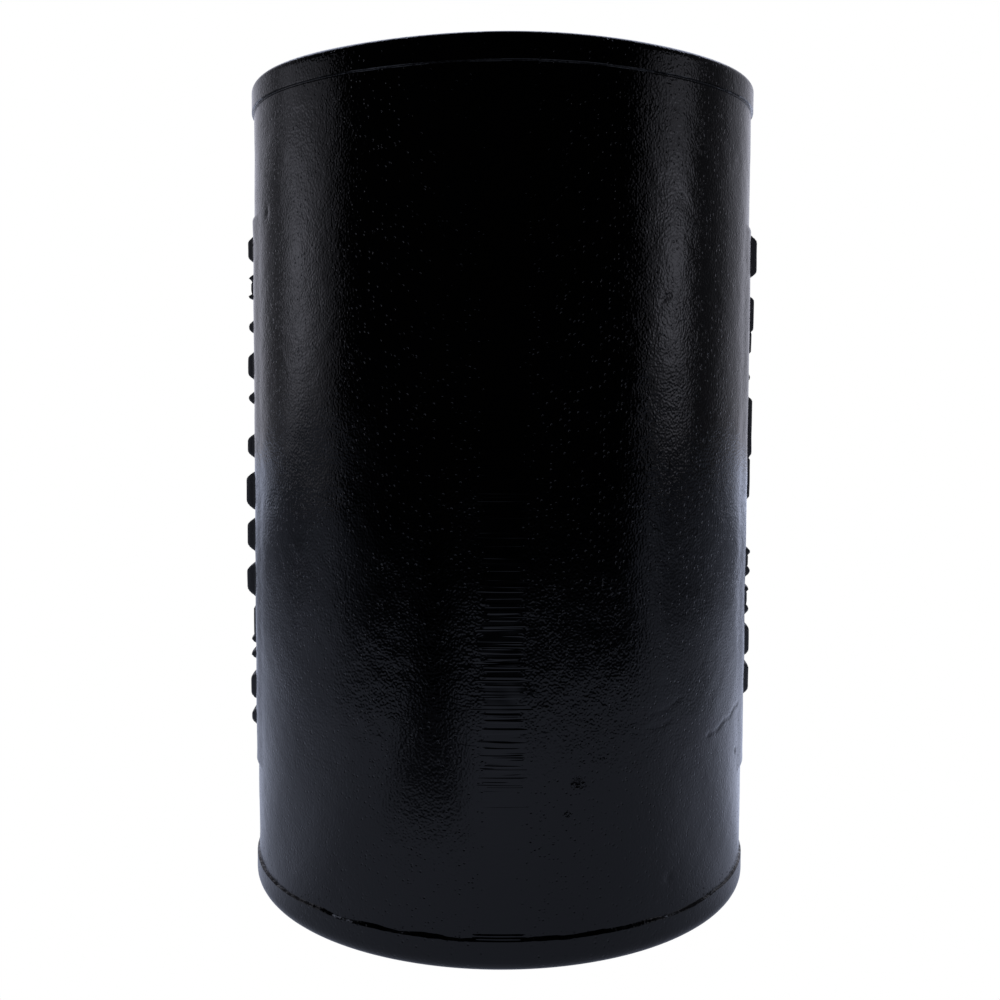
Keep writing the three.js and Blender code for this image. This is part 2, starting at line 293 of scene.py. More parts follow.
def past_ledge(angle, beyond, mean_width, unevenness, seed):
    """Share of a ledge's depth lost at a distance beyond its band, where its mean width is in millimetres.

    The ledge's edge wanders, and its width varies.
    """
    wander = 0.3 * unevenness * MM * ripples(angle, 0 * beyond, 30 * MM, seed)
    varied = np.clip(ripples(angle, 0 * beyond, 17 * MM, seed + 1), -1, 1)
    width = MM * mean_width * (1 + unevenness * varied)
    share = np.clip((beyond - wander) / width, 0, 1)
    return 0.75 * share + 0.25 * smooth_step(share)


def low_ledge(angle, z):
    """The worn ledge over the base band, ragged and widest at the front, with small steps at the seam."""
    beyond = z - LOW_LEDGE
    frayed = beyond + 0.1 * MM * ripples(angle, 0 * beyond, 4 * MM, 13)
    mean_width = 0.42 + 0.6 * np.maximum(np.cos(angle), 0) ** 4
    worn = past_ledge(angle, frayed, mean_width, 0.5, 11)
    steps = np.clip(beyond / SEAM_STEPS_TALL, 0, 0.999) * SEAM_STEPS
    stepped = (np.floor(steps) + np.clip((steps % 1) / 0.4, 0, 1)) / SEAM_STEPS
    at_seam = smooth_step((9 * MM - np.abs(angle) * BODY_R) / (2 * MM))
    return worn + (stepped - worn) * at_seam


def high_ledge(angle, z):
    """The crisp ledge under the rim band: leaning at the front, and square over a groove elsewhere."""
    leaning = smooth_step((np.cos(angle) - 0.8) / 0.1)
    beyond = HIGH_LEDGE - z
    groove = 0.2 * (1 - leaning) * np.exp(-(((beyond - 0.35 * MM) / (0.25 * MM)) ** 2))
    return past_ledge(angle, beyond, 0.08 + 0.4 * leaning, 0.15, 21) + groove


def raised_marks(angle, z):
    """Relief of the panels and bars on both sides. Their edges are round and lean inwards."""
    relief = np.zeros(np.broadcast(angle, z).shape)
    for side_deg, side in SIDES.items():
        off = (angle - math.radians(side_deg) + math.pi) % (2 * math.pi) - math.pi
        along = np.abs(off) * BODY_R
        low, high = (edge * MM for edge in side["panel"])
        inside = smooth_step(np.minimum(z - low, high - z) / (1.5 * MM))
        inside = inside * smooth_step((PANEL_HALF_LENGTH - along) / PANEL_END_DRAFT)
        relief = np.maximum(relief, PANEL_RELIEF * inside)
        for bar_low, bar_high, bar_relief in side["bars"]:
            slope = min(BAR_DRAFT * bar_relief, 0.5 * (bar_high - bar_low)) * MM
            inside = np.minimum(np.minimum(z - bar_low * MM, bar_high * MM - z), BAR_HALF_LENGTH - along)
            rise = np.sin(math.pi / 2 * np.clip(inside / slope, 0, 1))
            relief = np.maximum(relief, bar_relief * MM * rise)
    return relief


def wall_point(angle_deg, height):
    """The point of the round wall this many degrees from the seam, at a height in millimetres."""
    angle = math.radians(angle_deg)
    return (BODY_R * math.sin(angle), -BODY_R * math.cos(angle), height * MM)


def dent(angle, z, centre_deg, height, size, depth):
    """A soft round dent, or a swelling if the depth is negative, with its sizes in millimetres."""
    across = (angle - math.radians(centre_deg)) * BODY_R
    up = z - height * MM
    return depth * MM * np.exp(-((across ** 2 + up ** 2) / (size * MM) ** 2))


def flow_line(angle, z, start, end, width, depth):
    """A wavy groove between two (degrees, height) points of the wall, with its sizes in millimetres."""
    a = np.array([math.radians(start[0]) * BODY_R, start[1] * MM])
    b = np.array([math.radians(end[0]) * BODY_R, end[1] * MM])
    across = angle * BODY_R - a[0]
    up = z - a[1]
    length = np.linalg.norm(b - a)
    direction = (b - a) / length
    along = across * direction[0] + up * direction[1]
    off = across * direction[1] - up * direction[0] + 0.5 * MM * np.sin(along / (1.9 * MM))
    fade = smooth_step(along / (3 * MM)) * smooth_step((length - along) / (3 * MM))
    return depth * MM * fade * np.exp(-((off / (width * MM)) ** 2))


def wall_dents(angle, z):
    """The marks that moulding and use have left on this wall."""
    dents = sum(dent(angle, z, *mark) for mark in DENTS)
    return dents + sum(flow_line(angle, z, *mark) for mark in FLOW_LINES)


def seam_flat(angle):
    """How far the buffed mould seam lies below the round wall, at the front and at the back."""
    off = np.minimum(np.abs(angle), math.pi - np.abs(angle)) * BODY_R
    return 0.1 * MM * smooth_step((8 * MM - off) / (2 * MM))


def rim_sag(angle):
    """How far the rim of this casting stands below its nominal height: it leans and waves a little."""
    lean = 0.5 * np.cos(angle) - 0.5 * np.sin(angle)
    return (0.6 + lean - 0.28 * np.cos(5 * (angle - math.radians(6)))) * MM


def wall_radius(angle, z):
    """The outside's radius at a height: the band or the wall, with what is raised on it or sunk in it."""
    lost = low_ledge(angle, z) if z < HEIGHT / 2 else high_ledge(angle, z)
    radius = BAND_R - (BAND_R - BODY_R) * lost
    on_wall = smooth_step((z - 14 * MM) / (4 * MM)) * smooth_step((HEIGHT - 16 * MM - z) / (4 * MM))
    radius = radius + on_wall * (raised_marks(angle, z) - wall_dents(angle, z))
    waves = 0.09 * MM * ripples(angle, z, 42 * MM, 5) + 0.02 * MM * ripples(angle, z, 9 * MM, 6, 24)
    return radius + waves * (0.35 + 0.65 * on_wall) - seam_flat(angle)


def hexagon_radius(angle):
    """Distance from the axis to a hexagon with rounded corners, its flats facing -Y and +Y."""
    from_flat = (angle + math.pi / 6) % (math.pi / 3) - math.pi / 6
    flat = HEX_FLATS / 2 / np.cos(from_flat)
    from_corner = math.pi / 6 - np.abs(from_flat)
    centre = (HEX_FLATS / 2 - HEX_CORNER_R) / math.cos(math.pi / 6)
    inside = HEX_CORNER_R ** 2 - (centre * np.sin(from_corner)) ** 2
    corner = centre * np.cos(from_corner) + np.sqrt(np.maximum(inside, 0))
    return np.where(inside > 0, np.minimum(flat, corner), flat)


def mouth_outline():
    """The (radius, height) points from the rim's flat top down the recess, the seat and the neck."""
    recess, neck, seat, shelf, top = (v / MM for v in (RECESS_R, NECK_R, SEAT_Z, SHELF_Z, HEIGHT))
    outline = [
        (86, top, 0), (recess + 2, top, 1.2), (recess, top - 2, 1.2), (recess, seat, 2.5),
        (neck + 1.5, seat, 1.2), (neck, seat - 1.5, 0.8), (neck, shelf + 2, 0.8), (neck + 2, shelf, 0),
    ]
    return filleted(outline) * MM


def casting(material):
    """The rubber casting as one stack of rings: out over the base, up, over the rim and down the chamber."""
    angles = casting_angles()
    rings = Rings(angles)
    corner = np.radians(np.linspace(0, 90, 9))
    sag = rim_sag(angles)

    def sagged(height):
        return height - sag * smooth_step((height - SAG_START) / SAG_SPAN)

    for share in (0.02, 0.2, 0.4, 0.6, 0.8, 0.93):
        rings.add(share * (BAND_R - BASE_CORNER_R), 0)
    for turn in corner[:-1]:
        rings.add(BAND_R + BASE_CORNER_R * (math.sin(turn) - 1), BASE_CORNER_R * (1 - math.cos(turn)))
    for z in wall_heights():
        over_base = smooth_step((z - BASE_CORNER_R) / (3 * MM))
        under_rim = smooth_step((HEIGHT - RIM_CORNER_R - z) / (2 * MM))
        rings.add(BAND_R + (wall_radius(angles, z) - BAND_R) * over_base * under_rim, sagged(z))
    for turn in corner[1:]:
        height = HEIGHT + RIM_CORNER_R * (math.sin(turn) - 1)
        rings.add(BAND_R + RIM_CORNER_R * (math.cos(turn) - 1), sagged(height))
    for radius, height in mouth_outline():
        rings.add(radius, sagged(height))
    hexagon = hexagon_radius(angles)
    edge = [(CHAMBER_EDGE, 0), (0.3 * CHAMBER_EDGE, 0.3 * CHAMBER_EDGE)]
    for inset, drop in edge:
        rings.add(hexagon - inset, SHELF_Z - drop)
    for height in np.linspace(SHELF_Z - CHAMBER_EDGE, FLOOR_T + CHAMBER_EDGE, 24):
        rings.add(hexagon, height)
    for inset, rise in reversed(edge):
        rings.add(hexagon - inset, FLOOR_T + rise)
    for share in (0.75, 0.5, 0.25, 0.02):
        rings.add(share * hexagon, FLOOR_T)
    return rings.solid("rubber_barrel", material)


# ---------------------------------------------------------------- materials

class Nodes:
    """Short calls to add and join the nodes of one material or world."""

    def __init__(self, tree, place="Object"):
        self.tree = tree
        self.place = self.add("ShaderNodeTexCoord").outputs[place]

    def add(self, kind, inputs=None, **settings):
        node = self.tree.nodes.new(kind)
        for key, value in settings.items():
            setattr(node, key, value)
        for key, value in (inputs or {}).items():
            self.join(value, node.inputs[key])
        return node

    def join(self, value, socket):
        """Links a node's output to the socket, or sets the socket to a plain value."""
        if isinstance(value, bpy.types.NodeSocket):
            self.tree.links.new(value, socket)
        else:
            socket.default_value = value

    def maths(self, operation, a, b=0.0):
        return self.add("ShaderNodeMath", {0: a, 1: b}, operation=operation).outputs[0]

    def plus(self, a, b):
        return self.maths("ADD", a, b)

    def minus(self, a, b):
        return self.maths("SUBTRACT", a, b)

    def times(self, a, b):
        return self.maths("MULTIPLY", a, b)

    def absolute(self, a):
        return self.maths("ABSOLUTE", a)

    def parts(self):
        return self.add("ShaderNodeSeparateXYZ", {"Vector": self.place}).outputs

    def from_axis(self):
        x, y, _ = self.parts()
        return self.maths("SQRT", self.plus(self.times(x, x), self.times(y, y)))

    def stretched(self, scale):
        """The texture place with each axis scaled by its own number."""
        node = self.add("ShaderNodeMapping", {"Vector": self.place, "Scale": scale})
        return node.outputs["Vector"]

    def noise(self, scale, detail=2.0, roughness=0.5, vector=None):
        node = self.add("ShaderNodeTexNoise", {
            "Vector": vector or self.place, "Scale": scale, "Detail": detail, "Roughness": roughness,
        })
        return node.outputs["Fac"]

    def cells(self, scale):
        """The distance to the centre of the nearest cell, and that cell's own random number from 0 to 1."""
        node = self.add("ShaderNodeTexVoronoi", {"Vector": self.place, "Scale": scale})
        share = self.add("ShaderNodeSeparateColor", {"Color": node.outputs["Color"]}).outputs[0]
        return node.outputs["Distance"], share

    def band(self, value, low, high, to_low=0.0, to_high=1.0):
        """The value taken from low..high to to_low..to_high, smoothly, and held at both ends."""
        node = self.add("ShaderNodeMapRange", {
            "Value": value, "From Min": low, "From Max": high, "To Min": to_low, "To Max": to_high,
        }, interpolation_type="SMOOTHSTEP")
        return node.outputs["Result"]

    def near_point(self, point, low, high):
        """1 within the distance low of a point, fading to 0 at the distance high."""
        away = self.add("ShaderNodeVectorMath", {0: self.place, 1: point}, operation="DISTANCE")
        return self.band(away.outputs["Value"], high, low)

    def levels(self, value, steps):
        """The level at a value, on straight lines through steps of (value, level)."""
        first, last = steps[0][0], steps[-1][0]
        share = self.add("ShaderNodeMapRange", {"Value": value, "From Min": first, "From Max": last})
        ramp = self.add("ShaderNodeValToRGB", {"Fac": share.outputs["Result"]})
        stops = ramp.color_ramp.elements
        for place, _ in steps[1:-1]:
            stops.new((place - first) / (last - first))
        for stop, (_, level) in zip(stops, steps):
            stop.color = (level, level, level, 1)
        return ramp.outputs["Color"]

    def between(self, share, first, second):
        """first where the share is 0, second where it is 1."""
        change = self.times(share, self.minus(second, first))
        return self.plus(first, change)

    def blend_colour(self, factor, first, second):
        node = self.add("ShaderNodeMix", data_type="RGBA")
        self.join(factor, node.inputs[0])
        self.join(first, node.inputs[6])
        self.join(second, node.inputs[7])
        return node.outputs[2]

    def bump(self, height, distance, strength=1.0, under=None):
        inputs = {"Height": height, "Distance": distance, "Strength": strength}
        if under is not None:
            inputs["Normal"] = under
        return self.add("ShaderNodeBump", inputs).outputs["Normal"]

    def mix_shaders(self, factor, first, second):
        return self.add("ShaderNodeMixShader", {0: factor, 1: first, 2: second}).outputs[0]


class Shader(Nodes):
    """The nodes of a new material, with its Principled surface."""

    def __init__(self, name):
        self.material = bpy.data.materials.new(name)
        self.material.use_nodes = True
        super().__init__(self.material.node_tree)
        self.surface = self.tree.nodes["Principled BSDF"]

    def finish(self, colour, roughness, normal, **fixed):
        self.join(colour, self.surface.inputs["Base Color"])
        self.join(roughness, self.surface.inputs["Roughness"])
        self.join(normal, self.surface.inputs["Normal"])
        for name, value in fixed.items():
            self.surface.inputs[name.replace("_", " ")].default_value = value
        return self.material


def seam_strip(s):
    """Two masks of the buffed mould seams, at the front and the back: the strip, and its scores' depth."""
    x, y, z = s.parts()
    fray_place = s.stretched((SCORES_STRETCH, SCORES_STRETCH, 880.0))
    fray = s.times(s.noise(1.0, 2.0, 0.6, fray_place), STRIP_FRAY)
    from_seam = s.plus(s.absolute(s.minus(x, STRIP_OFF_CENTRE)), fray)
    front_or_back = s.band(s.absolute(y), 0.085, 0.088)
    strip = s.times(s.band(from_seam, *STRIP_EDGE), front_or_back)
    scored_low = s.times(s.band(z, *SCORES_START), s.band(z, *SCORES_END))
    return strip, s.times(strip, s.maths("MAXIMUM", scored_low, SCORES_ELSEWHERE))


def torn_spots(s):
    """1 at the torn spots of the skin, fading to 0 at their edges."""
    torn = 0.0
    for angle_deg, height, core, edge in TORN_SPOTS:
        torn = s.plus(torn, s.near_point(wall_point(angle_deg, height), core * MM, edge * MM))
    return torn


def barrel_relief(s, strip, scored):
    """The skin's normal: swells, fine peel and pinholes, then the scores of the seam and the torn spots."""
    skin = s.minus(1.0, strip)
    patchy = s.times(skin, s.band(s.noise(75.0, 2.0, 0.5), 0.3, 0.7, 0.75, 1.25))
    pebbled = s.times(patchy, 0.8)
    swell = s.noise(SWELL[0], 1.0, 0.5)
    peel = s.noise(PEEL[0], 0.0, 0.5, s.stretched((1.05, 1.05, 0.95)))
    from_centre, chance = s.cells(PINHOLES[0])
    pinholes = s.maths("MAXIMUM", s.band(from_centre, 0.08, 0.34), s.band(chance, 0.0, 0.5))
    scores_place = s.stretched((SCORES_STRETCH, SCORES_STRETCH, SCORES[0]))
    scores = s.band(s.noise(1.0, 1.0, 0.5, scores_place), 0.48, 0.62)

    normal = s.bump(swell, SWELL[1], s.times(skin, 0.7))
    normal = s.bump(peel, PEEL[1], pebbled, normal)
    normal = s.bump(pinholes, PINHOLES[1], pebbled, normal)
    normal = s.bump(scores, SCORES[1], scored, normal)
    return s.bump(s.noise(TEARS[0], 1.0, 0.6), TEARS[1], torn_spots(s), normal)


def barrel_rubber():
    """Glossy black moulded skin: fine peel, hazy patches, buffed seams, and dusty matt raised bars."""
    s = Shader("barrel_rubber")
    raised = s.band(s.from_axis(), *DUSTY_RADIUS)
    strip, scored = seam_strip(s)
    haze = s.noise(22.0, 4.0, 0.6)
    gloss = s.times(s.band(haze, 0.35, 0.7, 0.09, 0.14), s.band(strip, 0.0, 1.0, 1.0, 0.5))
    roughness = s.plus(gloss, s.times(raised, 0.4))
    deep_black = (0.0003, 0.0004, 0.0007, 1)
    hazy_black = (0.0009, 0.0010, 0.0015, 1)
    dusty_black = (0.030, 0.030, 0.033, 1)
    skin_colour = s.blend_colour(s.band(haze, 0.3, 0.75), deep_black, hazy_black)
    colour = s.blend_colour(raised, skin_colour, dusty_black)
    return s.finish(colour, roughness, barrel_relief(s, strip, scored), IOR=1.5)


def lid_rubber():
    """Satin black rubber with a fine moulded grain and a little grey slurry dust."""
    s = Shader("lid_rubber")
    grain = s.noise(1300.0, 3.0, 0.6)
    swell = s.noise(120.0, 2.0, 0.5)
    dust = s.band(s.noise(60.0, 5.0, 0.65), 0.52, 0.72)
    colour = s.blend_colour(dust, (0.012, 0.012, 0.013, 1), (0.045, 0.044, 0.042, 1))
    roughness = s.band(s.noise(35.0, 3.0, 0.6), 0.3, 0.7, 0.42, 0.62)
    normal = s.bump(grain, 0.00004, 0.6, s.bump(swell, 0.00015, 0.5))
    return s.finish(colour, roughness, normal, IOR=1.5)


def zinc_steel(name, ring_marks, base_roughness):
    """Bright zinc plate: cloudy spangle, rubbed spots, fine scratches and, on turned faces, ring marks."""
    s = Shader(name)
    rings = s.add("ShaderNodeCombineXYZ", {"X": s.from_axis(), "Z": s.parts()[2]}).outputs[0]
    marks = s.noise(2600.0, 3.0, 0.65, rings)
    cloud = s.noise(70.0, 4.0, 0.6)
    scratches = s.noise(1.0, 3.0, 0.7, s.stretched((90.0, 1900.0, 500.0)))
    colour = s.blend_colour(s.band(cloud, 0.35, 0.7), (0.50, 0.52, 0.54, 1), (0.66, 0.67, 0.66, 1))
    roughness = s.band(s.noise(160.0, 3.0, 0.6), 0.3, 0.75, base_roughness, base_roughness + 0.16)
    normal = s.bump(marks, 0.00002, ring_marks)
    normal = s.bump(scratches, 0.00002, 0.25, normal)
    normal = s.bump(cloud, 0.0002, 0.12, normal)
    return s.finish(colour, roughness, normal, Metallic=1.0)


# ---------------------------------------------------------------- the closure

# The M10 fasteners, in millimetres.
PITCH = 1.5
SHANK_R = 4.95
THREAD_DEPTH = 0.85
THREAD_LOW = 270
HEAD_R = 11.5
HEAD_RISE = 4.5
BORE_R = 5.3
PLAIN_BORE_R = 5.5
WING_ROOT = 6.5
WING_THICKNESS = 3.6


def height_of(node):
    """The lower and the upper end of a CAD node, in millimetres."""
    low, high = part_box(node)
    return low[2] / MM, high[2] / MM


def lid_plug(material):
    low, high = height_of("lid_plug")
    seat = SEAT_Z / MM + 0.3
    lip = [(59, 1.4, 0.5), (59.7, 2.4, 0.5), (59.7, 3.6, 0.5), (59, 4.6, 0.5)]
    lips = [(r, low + rise + step, f) for step in (0, 6) for r, rise, f in lip]
    outline = [
        (PLAIN_BORE_R, low, 0.3), (57.5, low, 1.2), (59, low + 1, 0.6), *lips, (59, seat, 0.4),
        (73, seat, 1.0), (73, high, 2.2), (71, high, 0.5), (70.4, high - 0.5, 0.3),
        (69.6, high - 0.5, 0.3), (69, high, 0.3), (PLAIN_BORE_R, high, 0.3),
    ]
    return turned("rubber_lid", outline, material, 192, closed=True, sharp_deg=60)


def square_radius(angles, side):
    """Distance from the axis to a square with softened corners."""
    flat = side / 2 / np.maximum(np.abs(np.cos(angles)), np.abs(np.sin(angles)))
    return np.minimum(flat, 0.66 * side)


def pressure_disc(material):
    low, high = height_of("pressure_disc")
    rings = Rings(even_angles(192))
    square = square_radius(rings.angles, 2 * BORE_R * MM)
    outline = [(BORE_R, low, 0.2), (54, low, 0.7), (54, high, 0.7), (BORE_R, high, 0.2)]
    for radius, height in filleted(outline, closed=True) * MM:
        at_bore = radius < 6 * MM
        rings.add(square + radius - BORE_R * MM if at_bore else radius, height)
    return rings.solid("steel_pressure_disc", material, closed=True)


def closure_bolt(material):
    """Carriage bolt: domed head, square neck, plain shank and a real helical M10 x 1.5 thread."""
    low, high = height_of("closure_bolt")
    head_top = low + 5.5
    neck_top = height_of("pressure_disc")[1]
    dome_r = (HEAD_R ** 2 + HEAD_RISE ** 2) / (2 * HEAD_RISE)
    rings = Rings(even_angles(64))
    square = square_radius(rings.angles, 10 * MM)

    for r in (0.4, 2.5, 4.5, 6.5, 8.5, 10, 11.2):
        rings.add(r * MM, (low + dome_r - math.sqrt(dome_r ** 2 - r ** 2)) * MM)
    for r, z in ((HEAD_R, low + 4.7), (HEAD_R, head_top - 0.3), (HEAD_R - 0.2, head_top), (8, head_top)):
        rings.add(r * MM, z * MM)
    for z in (head_top + 0.1, neck_top - 0.8):
        rings.add(square, z * MM)
    for z in (neck_top, THREAD_LOW - 1):
        rings.add(SHANK_R * MM, z * MM)
    for z in np.arange(THREAD_LOW, high - 0.9, PITCH / 10):
        phase = (z / PITCH - rings.angles / (2 * math.pi)) % 1
        crest = np.clip(1.25 * np.abs(2 * phase - 1) - 0.1, 0, 1)
        run_in = smooth_step((z - THREAD_LOW) / (2 * PITCH))
        run_out = smooth_step((high - z) / (1.2 * PITCH) + 0.2)
        rings.add((SHANK_R - THREAD_DEPTH * run_in * run_out * (1 - crest)) * MM, z * MM)
    for r, z in ((4.1, high - 0.5), (3.7, high), (1.5, high)):
        rings.add(r * MM, z * MM)
    return rings.solid("carriage_bolt", material)


def bolt_head_seal(material):
    low, high = height_of("bolt_head_seal")
    outline = [(7.4, low, 0.4), (12, low, 0.8), (12, high, 0.8), (7.4, high, 0.4)]
    return turned("bolt_head_seal_ring", outline, material, 96, closed=True)


def outer_lid_plate(material):
    """Pressed clamp plate: curled edge, step up, flat middle with a bead, and a pocket for the O-ring."""
    low, high = height_of("outer_lid_plate")
    under = low + 2
    flange = low + 2.5
    pocket_floor = high - 2.9
    outline = [
        (PLAIN_BORE_R, under - 1.2, 0.3), (9.5, under - 1.2, 0.8), (11.3, under, 0.8), (42, under, 1.5),
        (46, low, 1.5), (68, low, 0.8), (68, flange, 1.1), (66, flange, 0.4), (65.4, flange - 0.4, 0.4),
        (63, flange - 0.4, 0.4), (62.4, flange, 0.4), (45, flange, 1.5), (41, high, 1.5), (30, high, 0.6),
        (29, high - 0.8, 0.8), (26, high - 0.8, 0.8), (25, high, 0.6), (9.7, high, 0.5),
        (8.6, pocket_floor, 0.4), (PLAIN_BORE_R, pocket_floor, 0.3),
    ]
    return turned("steel_clamp_plate", outline, material, 256, closed=True, sharp_deg=60)


def bolt_o_ring(material):
    low, high = height_of("bolt_o_ring")
    section = (high - low) / 2
    rings = Rings(even_angles(96))
    for turn in even_angles(20):
        radius = BORE_R + section + section * math.cos(turn)
        height = (low + high) / 2 + section * math.sin(turn)
        rings.add(radius * MM, height * MM)
    return rings.solid("o_ring", material, closed=True)


def flat_washer(material):
    low, high = height_of("flat_washer")
    outline = [(PLAIN_BORE_R, low, 0.25), (15, low, 0.5), (15, high, 0.35), (PLAIN_BORE_R, high, 0.35)]
    return turned("steel_washer", outline, material, 128, closed=True)


def wing_outline(steps=10):
    """One wing seen from the side, as (reach, height above the nut's base) points in millimetres."""
    corners = [
        ((10, 3), (19, 5), (23.6, 13.3)),
        ((23.6, 13.3), (24.4, 17.6), (20.2, 17.7)),
        ((20.2, 17.7), (15.6, 17.6), (13, 11)),
        ((13, 11), (10.5, 8.2), (WING_ROOT, 8)),
    ]
    points = [(WING_ROOT, 2.0), (10, 3.0)]
    for start, pull, end in corners:
        for t in np.linspace(0, 1, steps + 1)[1:]:
            points.append(tuple(curve_point(np.array(start), np.array(pull), np.array(end), t)))
    return points


def wing(direction, low, material):
    """One flat wing, a little thinner towards its tip, which the nut's casting takes in."""
    side = wing_outline()
    count = len(side)
    half = [0.5 * (WING_THICKNESS - (reach - WING_ROOT) / 18) for reach, _ in side]
    front = [(direction * reach * MM, -h * MM, (low + up) * MM) for (reach, up), h in zip(side, half)]
    back = [(x, -y, z) for x, y, z in front]
    faces = [[i, (i + 1) % count, count + (i + 1) % count, count + i] for i in range(count)]
    faces += [list(range(count))[::-1], list(range(count, 2 * count))]
    if direction < 0:
        faces = [face[::-1] for face in faces]
    return mesh_object("wing", front + back, faces, material)


def boolean(obj, operation, tool):
    """Adds a boolean modifier to obj, which stays live until obj is settled."""
    modifier = obj.modifiers.new(operation, "BOOLEAN")
    modifier.operation = operation
    modifier.solver = "EXACT"
    modifier.object = tool


def wing_nut(material):
    """Cast wing nut: a tapered hub and two wings run together with soft fillets, then bored."""
    low, high = height_of("wing_nut")
    hub = [(0, low, 0), (9, low, 0.5), (10, low + 1, 0.6), (8, low + 9, 0.8), (0, low + 9, 0)]
    rings = Rings(even_angles(64))
    for radius, height in filleted(hub) * MM:
        rings.add(max(radius, 0.2 * MM), height)
    body = rings.solid("wing_nut_cast", material)
    wings = [wing(direction, low, material) for direction in (1, -1)]
    for part in wings:
        boolean(body, "UNION", part)
    remesh = body.modifiers.new("cast", "REMESH")
    remesh.mode = "VOXEL"
    remesh.voxel_size = 0.32 * MM
    remesh.use_smooth_shade = True
    soften = body.modifiers.new("fillets", "SMOOTH")
    soften.factor = 0.5
    soften.iterations = 7
    bore_outline = [(0.1, low - 2, 0), (BORE_R, low - 2, 0), (BORE_R, low + 11, 0), (0.1, low + 11, 0)]
    bore = turned("bore", bore_outline, material, 64)
    boolean(body, "DIFFERENCE", bore)
    settle(body)
    for helper in [*wings, bore]:
        bpy.data.objects.remove(helper)
    return body


def settle(obj):
    """Turns an object's modifiers into plain mesh."""
    shape = obj.evaluated_get(bpy.context.evaluated_depsgraph_get())
    mesh = bpy.data.meshes.new_from_object(shape)
    mesh.polygons.foreach_set("use_smooth", [True] * len(mesh.polygons))
    mesh.set_sharp_from_angle(angle=math.radians(50))
    obj.modifiers.clear()
    obj.data = mesh


def put(piece, body, node):
    """Rides a piece on its CAD body, in place of the CAD node, which it hides."""
    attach(piece, body)
    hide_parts(node)


def build_barrel():
    rubber = lid_rubber()
    plate_steel = zinc_steel("plate_zinc", 0.5, 0.24)
    small_steel = zinc_steel("fastener_zinc", 0.12, 0.3)
    put(casting(barrel_rubber()), "barrel", "barrel_body")
    put(lid_plug(rubber), "lid", "lid_plug")
    put(pressure_disc(plate_steel), "lid", "pressure_disc")
    put(closure_bolt(small_steel), "lid", "closure_bolt")
    put(bolt_head_seal(rubber), "lid", "bolt_head_seal")
    put(outer_lid_plate(plate_steel), "clamp_plate", "outer_lid_plate")
    put(bolt_o_ring(rubber), "clamp_plate", "bolt_o_ring")
    put(flat_washer(small_steel), "washer", "flat_washer")
    put(wing_nut(small_steel), "nut", "wing_nut")


# ---------------------------------------------------------------- studio

COOL_LIGHT = (0.92, 0.93, 1.08)
SKY_LIGHT = (0.80, 0.875, 1.13)

# The floor's glow, a painted pool of light: how bright the barrel sees the floor at each distance from its
# axis, in front of it and beside it.
FLOOR_IN_FRONT = [
    (0.12, 0.28), (0.30, 0.31), (0.40, 0.28), (0.46, 0.20), (0.52, 0.05), (0.60, 0.020), (0.87, 0.012),
    (1.2, 0.004), (2.2, 0.002),
]
FLOOR_BESIDE = [
    (0.12, 0.46), (0.20, 0.46), (0.30, 0.40), (0.40, 0.31), (0.50, 0.24), (0.63, 0.18), (0.85, 0.12),
    (1.2, 0.09), (2.2, 0.09),
]
# Painted reflections of the side lamps, as soft streaks on the floor's glow: (centre, half width, side where
# it starts, side where it is full, brightness).
# Centre and width are measured by the share towards -Y, and the sides by the share towards +X.
PAINTED_LAMP_STREAKS = [(0.40, 0.09, 0.4, 0.6, 0.13), (0.1, 0.2, -0.4, -0.6, 0.10)]
FLOOR_HALF = 2.2
# A painted shadow on the floor's glow stands for something dark a little left of the front, which the scene
# doesn't hold. It darkens the floor along a line through the axis, and so at the back right too. These are
# the line's direction, its half width from lit to hidden, the distances from the axis at which it starts and
# is full, and the share of light it takes.
SHADOW_LINE_TURN_DEG = 26.5
SHADOW_LINE_EDGE = (0.085, 0.035)
SHADOW_LINE_START = (0.19, 0.30)
SHADOW_LINE_SHARE = 0.85
# The brightness of the room, from in front of the barrel to behind it.
ROOM = [
    (-0.2, 0.004), (0.0, 0.02), (0.24, 0.08), (0.46, 0.11), (0.60, 0.20), (0.72, 0.46), (0.82, 0.52),
    (0.94, 0.85), (1.0, 0.85),
]
# The lamps beside the barrel all face it: (x, y, width, lower edge, upper edge, radiance).
SIDE_TARGET = (0, 0, 0.2)
SIDE_LAMPS = [
    (0.93, -0.200, 0.14, 0.26, 0.36, 0.40), (0.94, -0.205, 0.20, 0.19, 0.42, 0.28),
    (0.95, -0.205, 0.30, 0.17, 0.58, 0.22), (0.96, -0.250, 0.50, 0.12, 0.58, 0.18),
    (-0.93, 0.130, 0.14, 0.26, 0.36, 0.30), (-0.94, 0.120, 0.26, 0.20, 0.44, 0.20),
    (-0.95, 0.100, 0.38, 0.17, 0.46, 0.13), (-0.96, 0.070, 0.52, 0.10, 0.58, 0.13),
    (-0.97, 0.035, 0.69, 0.10, 0.58, 0.13), (-0.86, 0.640, 0.30, 0.46, 0.60, 0.12),
]


def painted_shadow_line(s, x, y, distance):
    """The share of the floor's light taken away by a painted shadow line, which stands for a dark stand that
    the scene doesn't hold.
    """
    turn = math.radians(SHADOW_LINE_TURN_DEG)
    along_x = s.times(x, math.cos(turn))
    along_y = s.times(y, math.sin(turn))
    across = s.absolute(s.minus(along_x, along_y))
    shape = s.times(s.band(across, *SHADOW_LINE_EDGE), s.band(distance, *SHADOW_LINE_START))
    return s.times(shape, SHADOW_LINE_SHARE)


